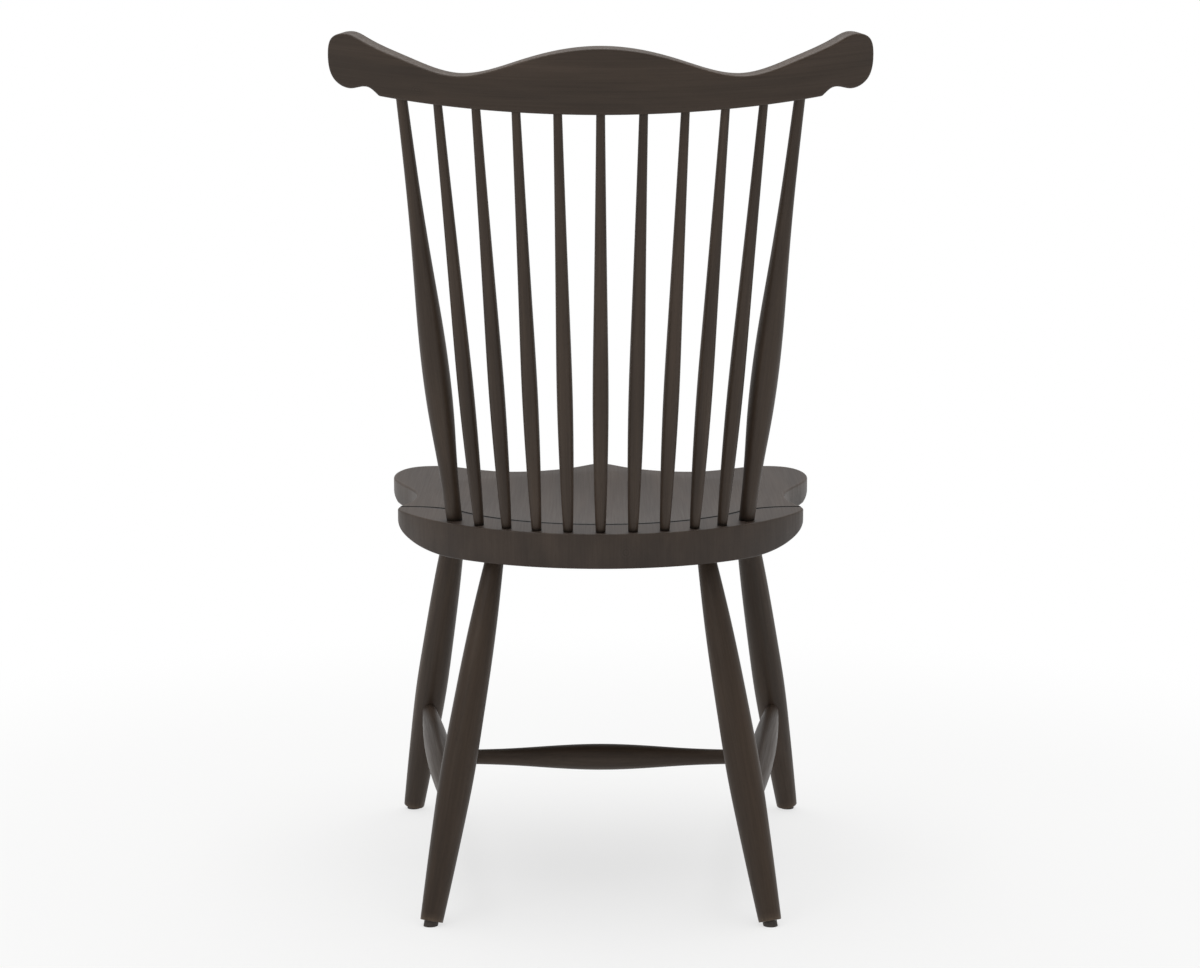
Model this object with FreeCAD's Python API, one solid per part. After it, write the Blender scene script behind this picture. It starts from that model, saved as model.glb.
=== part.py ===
import FreeCAD, Part
import math
import os

from FreeCAD import Placement, Rotation, Vector

# Fan-back Windsor side chair, all wood. Millimetres, Z up, the sitter faces -Y.
# Everything is drawn from the middle of the seat's rear edge, straight above the
# design origin on the floor, and moved at the end so that the origin lies under
# the middle of the whole chair.

# Seat, in its own frame: X across, Y towards the back, Z = 0 on the flat deck
deck_height = 450.0
seat_tilt = 1.04
seat_thickness = 41.0
deck_radius = 265.7
deck_edge_round = 1.8
lower_edge_round = 2.0
deck_half_width = 242.0
deck_round_share = 0.93
deck_side_y = -165.0
waist_half_width = 226.0
waist_y = -266.0
front_half_width = 261.0
widest_y = -388.0
corner_half_width = 232.0
corner_y = -462.0
scoop_x = 113.0
scoop_y = -455.0
pommel_y = -486.0
pommel_points = ((0.5, 0.2), (0.75, 0.55))
under_round_width = 72.0
under_round_height = 27.0
front_bevel_depth = 34.0
front_bevel_height = 15.0

# Groove between the flat deck and the saddle
groove_radius = 205.6
groove_side_y = -175.0
groove_turn_radius = 80.0
groove_width = 5.0
groove_depth = 2.6
groove_step = 1.5

# Saddle hollow
saddle_depth = 12.0
saddle_middle_y = -262.0
saddle_half_width = 212.0
saddle_front_reach = 175.0
scoop_depth = 6.0
scoop_outer_x = 212.0
scoop_round = 3.0
scoop_fade = 1.6
saddle_fade = 1.3
saddle_lift = 0.4
saddle_columns = 28
saddle_rows = 20

# Legs: sockets on the seat's underside, angles from the vertical
leg_splay_rear = 10.0
leg_rake_rear = 16.0
leg_socket_rear = (123.3, -75.2)
leg_splay_front = 8.9
leg_rake_front = 10.2
leg_socket_front = (180.5, -409.8)
leg_foot_radius = 13.0
leg_neck_radius = 10.7
leg_turning = ((0.14, 15.9), (0.28, 18.4), (0.41, 19.9), (0.54, 19.3), (0.68, 18.0), (0.83, 15.5))
leg_tenon_length = 29.0
leg_tenon_end_radius = 8.6
foot_chamfer = 0.8

# Glides nailed under the feet
glide_radius = 8.3
glide_thickness = 4.8
glide_seat_gap = 0.1
nail_radius = 1.2
nail_length = 14.0
nail_point_length = 2.5
nail_point_radius = 0.2
nail_head_radius = 3.4
nail_head_thickness = 1.2
nail_gap = 0.15

# Stretchers, heights of the joints above the floor
side_stretcher_front_height = 141.2
side_stretcher_rear_height = 129.2
side_stretcher_end_radius = 8.6
side_stretcher_turning = ((0.12, 11.5), (0.26, 14.2), (0.5, 16.0), (0.74, 14.2), (0.88, 11.5))
medial_share = 0.52
medial_end_radius = 8.5
medial_turning = ((0.12, 9.3), (0.22, 10.8), (0.34, 13.7), (0.5, 15.9),
                  (0.66, 13.7), (0.78, 10.8), (0.88, 9.3))
stretcher_tenon_length = 21.0
medial_tenon_length = 16.0
stretcher_tenon_taper = 0.9
stretcher_cover = 0.86

# Back: spindles and posts stand on two arcs concentric with the seat's rear edge
spindle_count = 9
spindle_edge_distance = 13.7
spindle_foot_step = 8.5
post_edge_distance = 19.7
post_foot_angle = 44.0
spindle_head_step = 47.35
spindle_head_step_shrink = 0.9
spindle_foot_radius = 5.7
spindle_head_radius = 4.95
spindle_turning = ((0.09, 7.3), (0.17, 8.3), (0.34, 9.1), (0.51, 8.1), (0.7, 6.7), (0.86, 5.7))
post_foot_radius = 9.2
post_head_radius = 6.2
post_turning = ((0.08, 10.1), (0.16, 11.9), (0.25, 14.5), (0.36, 15.7), (0.47, 14.6),
                (0.58, 12.0), (0.68, 9.7), (0.78, 8.0), (0.89, 6.9))
foot_tenon_length = 22.0
head_tenon_length = 20.0
tenon_taper = 0.94

# Crest rail: a bent board, drawn as a flat pattern and wrapped on a leaning cylinder
back_lean = 11.0
back_length = 489.8
crest_thickness = 18.0
crest_bend_radius = 560.0
crest_hump = 73.9
crest_dip_s = 160.0
crest_dip = 39.0
ear_top_s = 291.5
ear_top = 74.7
ear_end_s = 315.5
ear_end = 48.0
ear_lobe_s = 287.0
ear_lobe = 13.1
cove_s = 270.0
cove = 17.1
crest_corner_s = 250.6
crest_corner = 8.3

# Points between the ones above, as shares of the way along and up to the next
hump_points = ((0.28, 0.13), (0.56, 0.49))
ear_rise_points = ((0.46, 0.38), (0.85, 0.85))
ear_turn = (0.78, 0.27)
lobe_turn = (0.25, 0.76)
cove_points = ((0.37, 0.06), (0.7, 0.48))

# Fits: glued tenons in bored mortises
glue_gap = 0.15
mortise_bottom_gap = 1.5

# How far cutting shapes reach past the wood
clear = 10.0

up = Vector(0, 0, 1)


def closed_face(edges):
    return Part.Face(Part.Wire(Part.__sortEdges__(edges)))


def line(a, b):
    return Part.LineSegment(a, b).toShape()


def spline(points, start_tangent=None, end_tangent=None):
    """Smooth curve through the points; a direction may be given for either end."""
    lengths = [0.0]
    for a, b in zip(points, points[1:]):
        lengths.append(lengths[-1] + a.distanceToPoint(b))
    tangents = [Vector(1, 0, 0)] * len(points)
    fixed = [False] * len(points)
    for index, tangent in ((0, start_tangent), (-1, end_tangent)):
        if tangent:
            tangents[index] = tangent / tangent.Length
            fixed[index] = True
    curve = Part.BSplineCurve()
    curve.interpolate(Points=points, Tangents=tangents, TangentFlags=fixed, Parameters=lengths,
                      Scale=False)
    return curve


def between(a, b, shares):
    return Vector(a.x + (b.x - a.x) * shares[0], a.y + (b.y - a.y) * shares[1], 0)


def mirror_x(point):
    return Vector(-point.x, point.y, point.z)


def mirrored(shape):
    return shape.mirror(Vector(0, 0, 0), Vector(1, 0, 0))


def along(start, end):
    """Placement that carries the Z axis onto the line from start to end."""
    return Placement(start, Rotation(up, end - start))


def turned(length, foot_radius, turning, head_radius, foot_tenon=None, head_tenon=None):
    """A turned rod on the Z axis; each tenon is a length and an end radius."""
    stations = [(0.0, foot_radius), *turning, (1.0, head_radius)]
    points = [Vector(radius, 0, share * length) for share, radius in stations]
    outline = spline(points)
    stops = [outline.parameter(point) for point in points]
    edges = [outline.toShape(a, b) for a, b in zip(stops, stops[1:])]
    low = Vector(0, 0, 0)
    high = Vector(0, 0, length)
    foot = Vector(foot_radius, 0, 0)
    head = Vector(head_radius, 0, length)
    if foot_tenon:
        low = Vector(0, 0, -foot_tenon[0])
        foot_end = Vector(foot_tenon[1], 0, low.z)
        edges.append(line(foot_end, foot))
        foot = foot_end
    if head_tenon:
        high = Vector(0, 0, length + head_tenon[0])
        head_end = Vector(head_tenon[1], 0, high.z)
        edges.append(line(head, head_end))
        head = head_end
    edges += [line(low, foot), line(head, high), line(high, low)]
    return closed_face(edges).revolve(Vector(0, 0, 0), up, 360)


def mortise(point, direction, mouth_radius, end_radius, depth, mouth_reach):
    """Tapered bore for a tenon that goes in at point, opened backwards by mouth_reach."""
    slope = (mouth_radius - end_radius) / depth
    total = mouth_reach + depth + mortise_bottom_gap
    start = point - direction * mouth_reach
    wide = mouth_radius + slope * mouth_reach + glue_gap
    narrow = end_radius + glue_gap
    return Part.makeCone(wide, narrow, total, start, direction)


# Seat frame and the frame of the leaning back

seat_place = Placement(Vector(0, 0, deck_height), Rotation(Vector(1, 0, 0), -seat_tilt))
deck_centre_y = -deck_radius
touch = 0.01
lean = math.radians(back_lean)
back_up = Vector(0, math.sin(lean), math.cos(lean))
back_out = Vector(0, math.cos(lean), -math.sin(lean))
back_foot = seat_place.multVec(Vector(0, -spindle_edge_distance, 0))
crest_base = back_foot + back_up * back_length


def on_seat(x, y, z=0.0):
    return seat_place.multVec(Vector(x, y, z))


def on_crest(s, h, offset=0.0):
    """Point of the bent board: s along its bend, h up its face, offset to the back."""
    angle = s / crest_bend_radius
    radius = crest_bend_radius + offset
    across = Vector(radius * math.sin(angle), 0, 0)
    back = back_out * (radius * math.cos(angle) - crest_bend_radius)
    return crest_base + across + back + back_up * h


def crest_bottom(s):
    return crest_corner * (s / crest_corner_s) ** 2


# Seat

def seat_outline():
    """Plan of the shield seat: round deck, side coves, wide front with a pommel."""
    side_angle = math.asin(deck_round_share * deck_half_width / deck_radius)
    arc_end = Vector(deck_radius * math.sin(side_angle),
                     deck_centre_y + deck_radius * math.cos(side_angle), 0)
    arc = Part.Arc(arc_end, Vector(0, 0, 0), mirror_x(arc_end)).toShape()
    tangent = Vector(math.cos(side_angle), -math.sin(side_angle), 0)
    deck_side = Vector(deck_half_width, deck_side_y, 0)
    notch = Vector(deck_half_width - groove_step, groove_side_y - groove_width, 0)
    corner = spline([arc_end, deck_side], tangent, Vector(0, -1, 0)).toShape()
    step = line(deck_side, notch)
    scoop = Vector(scoop_x, scoop_y, 0)
    pommel = Vector(0, pommel_y, 0)
    side_points = [
        notch,
        Vector(waist_half_width, waist_y, 0),
        Vector(front_half_width, widest_y, 0),
        Vector(corner_half_width, corner_y, 0),
        Vector(0.5 * (corner_half_width + scoop_x), corner_y + 1, 0),
        scoop,
        *[between(scoop, pommel, shares) for shares in pommel_points],
        pommel,
    ]
    side = spline(side_points, Vector(-0.5, -1, 0), Vector(-1, 0, 0)).toShape()
    right = [corner, step, side]
    return [arc] + right + [mirrored(edge) for edge in right]


def under_section(y, half_width):
    """Front view of the blank at y: flat bottom, elliptical lower corners."""
    inner = half_width - under_round_width
    top = clear
    low = -seat_thickness
    side = low + under_round_height

    def at(x, z):
        return Vector(x, y, z)

    quarter = []
    for i in range(5):
        turn = 0.125 * math.pi * i
        quarter.append(at(inner + under_round_width * math.sin(turn),
                          side - under_round_height * math.cos(turn)))
    round_right = spline(quarter, Vector(1, 0, 0), Vector(0, 0, 1)).toShape()
    round_left = mirrored(round_right)
    edges = [
        line(at(-inner, low), at(inner, low)),
        round_right,
        line(at(half_width, side), at(half_width, top)),
        line(at(half_width, top), at(-half_width, top)),
        line(at(-half_width, top), at(-half_width, side)),
        round_left,
    ]
    return Part.Wire(Part.__sortEdges__(edges))


def seat_blank():
    plan = closed_face(seat_outline())
    plan.translate(Vector(0, 0, -seat_thickness))
    board = plan.extrude(Vector(0, 0, seat_thickness))
    stations = (
        (2 * clear, deck_half_width),
        (groove_side_y, deck_half_width),
        (waist_y, waist_half_width + groove_step),
        (0.7 * widest_y + 0.3 * waist_y, front_half_width),
        (pommel_y - 2 * clear, front_half_width),
    )
    sections = [under_section(y, half) for y, half in stations]
    belly = Part.makeLoft(sections, True, False)
    board = board.common(belly)
    start = -front_half_width - clear
    inner = Vector(start, pommel_y + front_bevel_depth, -seat_thickness)
    outer = Vector(start, pommel_y, -seat_thickness + front_bevel_height)
    slope = (outer - inner) * 0.5
    high = outer + slope
    low = inner - slope
    below = Vector(start, high.y, low.z)
    bevel = closed_face([line(low, high), line(high, below), line(below, low)])
    return board.cut(bevel.extrude(Vector(-2 * start, 0, 0)))


def groove_turn():
    """Angle, centre and lowest X of the arc that leads the groove out to the side."""
    turn_sum = groove_radius + groove_turn_radius
    cosine = (groove_side_y - deck_centre_y + groove_turn_radius) / turn_sum
    angle = math.acos(cosine)
    centre = Vector(turn_sum * math.sin(angle), deck_centre_y + turn_sum * math.cos(angle), 0)
    return angle, centre


def groove_edge(offset):
    """One side of the groove's path, offset forward from its middle line."""
    angle, centre = groove_turn()
    inner = groove_radius - offset
    outer = groove_turn_radius + offset
    middle = Vector(0, deck_centre_y, 0)
    join = middle + Vector(math.sin(angle), math.cos(angle), 0) * inner
    low = centre - Vector(0, outer, 0)
    mid_angle = 0.5 * angle
    turn_mid = centre + Vector(-math.sin(mid_angle), -math.cos(mid_angle), 0) * outer
    out = Vector(front_half_width + 2 * clear, low.y, 0)
    right = [Part.Arc(join, turn_mid, low).toShape(), line(low, out)]
    top = Part.Arc(join, middle + Vector(0, inner, 0), mirror_x(join)).toShape()
    return [top] + right + [mirrored(edge) for edge in right], out


def groove_cutter():
    front, front_out = groove_edge(0.5 * groove_width)
    back, back_out_point = groove_edge(-0.5 * groove_width)
    ends = [line(front_out, back_out_point), line(mirror_x(front_out), mirror_x(back_out_point))]
    face = closed_face(front + back + ends)
    face.translate(Vector(0, 0, -groove_depth))
    return face.extrude(Vector(0, 0, groove_depth + clear))


def smooth(t):
    t = min(1.0, max(0.0, t))
    return t * t * (3 - 2 * t)


def saddle_drop(x, y):
    """How far the saddle lies under the deck's plane at a place in plan."""
    x = abs(x)
    rear_reach = groove_radius + saddle_middle_y - deck_centre_y
    reach = rear_reach if y > saddle_middle_y else saddle_front_reach
    away = (x / saddle_half_width) ** 2 + ((y - saddle_middle_y) / reach) ** 2
    hollow = saddle_depth * max(0.0, 1 - away) ** saddle_fade
    if x < scoop_x:
        channel = math.sin(0.5 * math.pi * math.hypot(x, scoop_round) / scoop_x)
    else:
        past = min(1, (x - scoop_x) / (scoop_outer_x - scoop_x))
        channel = math.cos(0.5 * math.pi * past) ** scoop_fade
    start = saddle_middle_y
    scoop = scoop_depth * channel * smooth((start - y) / (start - scoop_y))
    return hollow + scoop - saddle_lift


def saddle_cutter():
    """Everything above the carved saddle, in front of the groove's middle line."""
    half = front_half_width + 1.5 * clear
    rear = deck_centre_y + groove_radius + clear
    front = pommel_y - 1.5 * clear
    grid = []
    for i in range(saddle_columns + 1):
        x = -half + 2 * half * i / saddle_columns
        ys = [front + (rear - front) * j / saddle_rows for j in range(saddle_rows + 1)]
        grid.append([Vector(x, y, -saddle_drop(x, y)) for y in ys])
    surface = Part.BSplineSurface()
    surface.interpolate(grid)
    above = surface.toShape().extrude(Vector(0, 0, seat_thickness))
    edge, out = groove_edge(0.0)
    far = Vector(out.x, front - clear, 0)
    sides = [line(out, far), line(far, mirror_x(far)), line(mirror_x(far), mirror_x(out))]
    region = closed_face(edge + sides)
    region.translate(Vector(0, 0, -seat_thickness))
    return above.common(region.extrude(Vector(0, 0, 2 * seat_thickness)))


def eased(board):
    """The board with the rim of its deck and its long lower edges rounded over."""
    def on_rim(edge):
        corners = [vertex.Point for vertex in edge.Vertexes]
        gap = min(abs((point - Vector(0, deck_centre_y, 0)).Length - deck_radius) for point in corners)
        return edge.BoundBox.ZMin > -touch and gap < touch
    board = board.makeFillet(deck_edge_round, [edge for edge in board.Edges if on_rim(edge)])
    low = [edge for edge in board.Edges if edge.Length > deck_half_width
           and edge.BoundBox.ZMin < -0.9 * seat_thickness
           and edge.BoundBox.ZMax < -0.25 * seat_thickness]
    return board.makeFillet(lower_edge_round, low)


def make_seat(bores):
    seat = eased(seat_blank().cut(saddle_cutter()).cut(groove_cutter()))
    seat.Placement = seat_place
    for bore in bores:
        seat = seat.cut(bore)
    return seat


# Legs and glides

class Leg:
    """One leg's axis, from the floor to the seat's underside."""

    def __init__(self, socket, splay, rake, side, end):
        self.top = on_seat(side * socket[0], socket[1], -seat_thickness)
        down = Vector(side * math.tan(math.radians(splay)), end * math.tan(math.radians(rake)), -1)
        self.foot = self.top + down * self.top.z
        self.up = (self.top - self.foot).normalize()
        self.length = (self.top - self.foot).Length

    def at_height(self, z):
        return self.foot + self.up * (z / self.up.z)

    def socket_bore(self):
        return mortise(self.top, self.up, leg_neck_radius, leg_tenon_end_radius,
                       leg_tenon_length, clear)

    def make(self, bores):
        tenon = (leg_tenon_length, leg_tenon_end_radius)
        leg = turned(self.length, leg_foot_radius, leg_turning, leg_neck_radius, None, tenon)
        leg.Placement = along(self.foot, self.top)
        sole = self.foot + self.up * (glide_thickness + glide_seat_gap)
        wide = leg_foot_radius + clear
        rim_start = leg_foot_radius - foot_chamfer
        leg = leg.cut(Part.makeCylinder(wide, clear, sole, self.up * -1))
        keep = Part.makeCone(rim_start, rim_start + clear, clear, sole, self.up)
        leg = leg.cut(Part.makeCylinder(wide, clear, sole, self.up).cut(keep))
        hole_depth = nail_length + nail_point_length + mortise_bottom_gap
        leg = leg.cut(Part.makeCylinder(nail_radius + nail_gap, hole_depth, self.foot, self.up))
        for bore in bores:
            leg = leg.cut(bore)
        return leg

    def make_glide(self):
        """Button under the foot, square to the leg above and level with the floor below."""
        below = self.foot - self.up * clear
        pad = Part.makeCylinder(glide_radius, glide_thickness + clear, below, self.up)
        above_floor = Part.makeCylinder(glide_radius + clear, glide_thickness + clear,
                                        Vector(self.foot.x, self.foot.y, 0), up)
        hole = Part.makeCylinder(nail_radius + nail_gap, 2 * clear, below, self.up)
        head_seat = glide_thickness - nail_head_thickness
        recess = Part.makeCylinder(nail_head_radius + nail_gap, clear + head_seat, below, self.up)
        return pad.common(above_floor).cut(hole).cut(recess)

    def make_nail(self):
        head_top = glide_thickness - nail_head_thickness - nail_gap
        start = self.foot + self.up * (head_top - nail_head_thickness)
        head = Part.makeCylinder(nail_head_radius, nail_head_thickness, start, self.up)
        shank = Part.makeCylinder(nail_radius, nail_length - head_top, start, self.up)
        point_start = start + self.up * (nail_length - head_top)
        point = Part.makeCone(nail_radius, nail_point_radius, nail_point_length,
                              point_start, self.up)
        return head.fuse(shank).fuse(point).removeSplitter()


# Stretchers

def stretcher(start, end, end_radius, turning, tenon_length, cover):
    """Turned stretcher between two axes; cover is how deep each end sits in its host."""
    run = (end - start).normalize()
    shoulder = start + run * cover
    length = (end - start).Length - 2 * cover
    tenon = (tenon_length, end_radius * stretcher_tenon_taper)
    rod = turned(length, end_radius, turning, end_radius, tenon, tenon)
    rod.Placement = along(shoulder, end)
    bores = [
        mortise(shoulder, run * -1, end_radius, tenon[1], tenon_length, clear),
        mortise(end - run * cover, run, end_radius, tenon[1], tenon_length, clear),
    ]
    return rod, bores


# Back

def spindle_axes():
    """Foot, head and crest place of every spindle, left to right, then both posts."""
    axes = {}
    middle = (spindle_count - 1) // 2
    for index in range(spindle_count):
        step = index - middle
        axes[f"spindle_{index + 1}"] = axis_of(
            step * spindle_foot_step, deck_radius - spindle_edge_distance, head_place(step))
    for name, side in (("left", -1), ("right", 1)):
        axes[f"post_{name}"] = axis_of(
            side * post_foot_angle, deck_radius - post_edge_distance, head_place(side * (middle + 1)))
    return axes


def head_place(step):
    """Distance along the crest's bend; the steps get shorter towards the ears."""
    count = abs(step)
    total = sum(spindle_head_step - spindle_head_step_shrink * i for i in range(count))
    return math.copysign(total, step) if step else 0.0


def axis_of(angle, radius, s):
    turn = math.radians(angle)
    foot = on_seat(radius * math.sin(turn), deck_centre_y + radius * math.cos(turn))
    aim = on_crest(s, crest_bottom(s) + 0.5 * head_tenon_length)
    run = (aim - foot).normalize()
    head = aim - run * (0.5 * head_tenon_length)
    return foot, head, run


def make_spindle(name, foot, head, run):
    is_post = name.startswith("post")
    foot_radius = post_foot_radius if is_post else spindle_foot_radius
    head_radius = post_head_radius if is_post else spindle_head_radius
    turning = post_turning if is_post else spindle_turning
    foot_tenon = (foot_tenon_length, foot_radius * tenon_taper)
    head_tenon = (head_tenon_length, head_radius * tenon_taper)
    rod = turned((head - foot).Length, foot_radius, turning, head_radius, foot_tenon, head_tenon)
    rod.Placement = along(foot, head)
    foot_bore = mortise(foot, run * -1, foot_radius, foot_tenon[1], foot_tenon_length, clear)
    head_bore = mortise(head, run, head_radius, head_tenon[1], head_tenon_length, clear)
    return rod, foot_bore, head_bore


# Crest rail

def crest_pattern():
    """Flat outline of the crest: top edge, right-hand ear and bottom edge."""
    hump = Vector(0, crest_hump, 0)
    dip = Vector(crest_dip_s, crest_dip, 0)
    tip = Vector(ear_top_s, ear_top, 0)
    end = Vector(ear_end_s, ear_end, 0)
    lobe = Vector(ear_lobe_s, ear_lobe, 0)
    notch = Vector(cove_s, cove, 0)
    corner = Vector(crest_corner_s, crest_corner, 0)
    right_top = [hump, *[between(hump, dip, shares) for shares in hump_points], dip,
                 *[between(dip, tip, shares) for shares in ear_rise_points], tip]
    over_left = Vector(1, 0.05, 0)
    over_right = Vector(1, -0.05, 0)
    top = spline([mirror_x(p) for p in reversed(right_top[1:])] + right_top, over_left, over_right)
    ear = spline([tip, between(tip, end, ear_turn), end, between(end, lobe, lobe_turn), lobe, notch,
                  *[between(notch, corner, shares) for shares in cove_points], corner], over_right)
    bottom = Part.Arc(corner, Vector(0, 0, 0), mirror_x(corner))
    return top, ear, bottom


def wrapped(curve, samples, offset):
    """A pattern curve bent onto the cylinder at an offset from the board's middle."""
    flat = curve.toShape().discretize(samples)
    return spline([on_crest(p.x, p.y, offset) for p in flat]).toShape()


def crest_walls():
    """The edge of the board all round, ruled square through its thickness."""
    reach = 0.5 * crest_thickness + clear
    walls = []
    for curve, samples in zip(crest_pattern(), (41, 33, 15)):
        walls.append(Part.makeRuledSurface(wrapped(curve, samples, -reach),
                                           wrapped(curve, samples, reach)))
    walls.append(mirrored(walls[1]))
    return Part.makeShell([face for wall in walls for face in wall.Faces])


def make_crest(bores):
    height = 2 * ear_top
    bend_axis = Placement(on_crest(0, -0.3 * height) - back_out * crest_bend_radius,
                          Rotation(back_out * -1, Vector(-1, 0, 0), back_up, "ZXY"))
    board = Part.makeCylinder(crest_bend_radius + 0.5 * crest_thickness, height)
    board = board.cut(Part.makeCylinder(crest_bend_radius - 0.5 * crest_thickness, height))
    board.Placement = bend_axis
    pieces = board.generalFuse([crest_walls()])[0].Solids
    crest = min(pieces, key=lambda piece: piece.Volume)
    for bore in bores:
        crest = crest.cut(bore)
    return crest


# The whole chair

def build():
    nodes = {}
    seat_bores = []
    leg_bores = {}
    legs = {}
    for end, socket, splay, rake, way in (
        ("front", leg_socket_front, leg_splay_front, leg_rake_front, -1),
        ("rear", leg_socket_rear, leg_splay_rear, leg_rake_rear, 1),
    ):
        for name, side in (("left", -1), ("right", 1)):
            leg = Leg(socket, splay, rake, side, way)
            legs[f"leg_{end}_{name}"] = leg
            leg_bores[f"leg_{end}_{name}"] = []
            seat_bores.append(leg.socket_bore())

    middles = {}
    side_bores = {}
    cover = stretcher_cover * max(radius for share, radius in leg_turning)
    for name in ("left", "right"):
        front = legs[f"leg_front_{name}"].at_height(side_stretcher_front_height)
        rear = legs[f"leg_rear_{name}"].at_height(side_stretcher_rear_height)
        rod, bores = stretcher(front, rear, side_stretcher_end_radius, side_stretcher_turning,
                               stretcher_tenon_length, cover)
        nodes[f"side_stretcher_{name}"] = rod
        leg_bores[f"leg_front_{name}"].append(bores[0])
        leg_bores[f"leg_rear_{name}"].append(bores[1])
        middles[name] = front + (rear - front) * medial_share
    cover = stretcher_cover * max(radius for share, radius in side_stretcher_turning)
    medial, bores = stretcher(middles["left"], middles["right"], medial_end_radius, medial_turning,
                              medial_tenon_length, cover)
    nodes["medial_stretcher"] = medial
    nodes["side_stretcher_left"] = nodes["side_stretcher_left"].cut(bores[0])
    nodes["side_stretcher_right"] = nodes["side_stretcher_right"].cut(bores[1])

    for name, leg in legs.items():
        nodes[name] = leg.make(leg_bores[name])
        nodes[name.replace("leg", "glide")] = leg.make_glide()
    nodes["glide_nails"] = Part.makeCompound([leg.make_nail() for leg in legs.values()])

    crest_bores = []
    for name, (foot, head, run) in spindle_axes().items():
        rod, foot_bore, head_bore = make_spindle(name, foot, head, run)
        nodes[name] = rod
        seat_bores.append(foot_bore)
        crest_bores.append(head_bore)
    nodes["crest_rail"] = make_crest(crest_bores)
    nodes["seat"] = make_seat(seat_bores)
    return nodes


def main():
    nodes = build()
    box = FreeCAD.BoundBox()
    for shape in nodes.values():
        box.add(shape.optimalBoundingBox(True))
    shift = Vector(-box.Center.x, -box.Center.y, -box.ZMin)
    os.makedirs("parts", exist_ok=True)
    for name, shape in nodes.items():
        shape.translate(shift)
        shape.exportStep(f"parts/{name}.step")
        print(name, len(shape.Solids), round(shape.Volume), shape.isValid())
    print("size", box.XLength, box.YLength, box.ZLength)


main()
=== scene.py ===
import math

import bmesh
import bpy
import numpy as np
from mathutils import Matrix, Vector


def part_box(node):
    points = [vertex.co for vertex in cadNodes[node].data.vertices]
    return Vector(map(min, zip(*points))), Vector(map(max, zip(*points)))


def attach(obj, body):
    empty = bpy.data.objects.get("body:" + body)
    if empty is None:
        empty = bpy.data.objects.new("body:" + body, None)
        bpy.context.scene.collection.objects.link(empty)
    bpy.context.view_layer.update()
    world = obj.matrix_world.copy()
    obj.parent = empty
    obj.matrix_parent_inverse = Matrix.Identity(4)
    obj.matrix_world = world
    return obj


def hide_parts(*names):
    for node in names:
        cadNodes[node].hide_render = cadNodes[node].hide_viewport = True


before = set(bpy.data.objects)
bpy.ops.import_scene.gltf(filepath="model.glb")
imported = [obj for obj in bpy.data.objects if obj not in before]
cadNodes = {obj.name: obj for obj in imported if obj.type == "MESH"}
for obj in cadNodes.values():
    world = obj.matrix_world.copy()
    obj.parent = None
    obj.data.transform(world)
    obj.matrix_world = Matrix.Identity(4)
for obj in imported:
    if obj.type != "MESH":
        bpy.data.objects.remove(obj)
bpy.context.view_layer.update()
mm = 0.001
hardEdge = math.radians(50)  # sharper bends than this are shaded as edges
weldDistance = 0.000004

# Fan-back Windsor side chair. The photograph looks at it from behind, along -Y.
# Pieces are worked out in millimetres and put in place in metres.


def linearColour(hexColour):  # "#rrggbb" to linear RGBA
    values = [int(hexColour[i:i + 2], 16) / 255 for i in (1, 3, 5)]
    return [v / 12.92 if v <= 0.04045 else ((v + 0.055) / 1.055) ** 2.4 for v in values] + [1.0]


def addNode(tree, kind, values=(), links=(), **settings):
    node = tree.nodes.new(kind)
    for name, value in settings.items():
        setattr(node, name, value)
    for socket, value in dict(values).items():
        node.inputs[socket].default_value = value
    for socket, source in dict(links).items():
        tree.links.new(source, node.inputs[socket])
    return node


def newMaterial(name):
    material = bpy.data.materials.new(name)
    material.use_nodes = True
    material.node_tree.nodes.clear()
    return material, material.node_tree


# Stained hardwood: hard maple, turned, sawn or bent, sanded, stained dark espresso and
# sprayed with a satin lacquer. Fine pale-dark streaks run with the grain, pores show as
# short ticks, broad tone drifts over a hand's width, and rubbed edges let paler wood through.
# The grain attribute is the board's own place in metres: across, through, along the fibres.

# one signed attribute per piece pales rubbed edges above zero; it also carries painted light: a painted
# highlight along the crest rail's top edge above zero, painted shade in the seat's groove and at spindle and
# post feet below zero
turnedWood = dict(
    name="espresso maple, turned and satin lacquered", dark="#352a21", mid="#3d3127", pale="#46392e",
    wearAndPaintedLight="#665748", streak=(1.5, 3.0, 110.0), drift=(24.0, 24.0, 260.0), pore=(0.9, 0.9, 9.0),
    roughness=(0.42, 0.56), specular=0.28, coat=0.06, coatRoughness=0.25, contrast=(0.87, 1.11))
seatWood = dict(
    name="espresso maple board, carved and satin lacquered", dark="#2e251f", mid="#352b24", pale="#3e332b",
    wearAndPaintedLight="#665a50", streak=(1.9, 46.0, 120.0), drift=(38.0, 80.0, 300.0), pore=(0.9, 5.0, 10.0),
    roughness=(0.45, 0.52), specular=0.26, coat=0.06, coatRoughness=0.25, contrast=(0.94, 1.055),
    knot=((-29.0, -22.0, 0.0), (11.0, 13.0, 60.0)))
crestWood = dict(
    name="espresso maple, steam bent and satin lacquered", dark="#342920", mid="#3c3026", pale="#44372d",
    wearAndPaintedLight="#64574d", streak=(1.7, 6.0, 130.0), drift=(30.0, 30.0, 210.0), pore=(0.9, 0.9, 10.0),
    roughness=(0.42, 0.56), specular=0.28, coat=0.06, coatRoughness=0.25, contrast=(0.88, 1.1),
    knot=((20.0, 9.0, 203.0), (7.0, 16.0, 12.0)))


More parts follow.
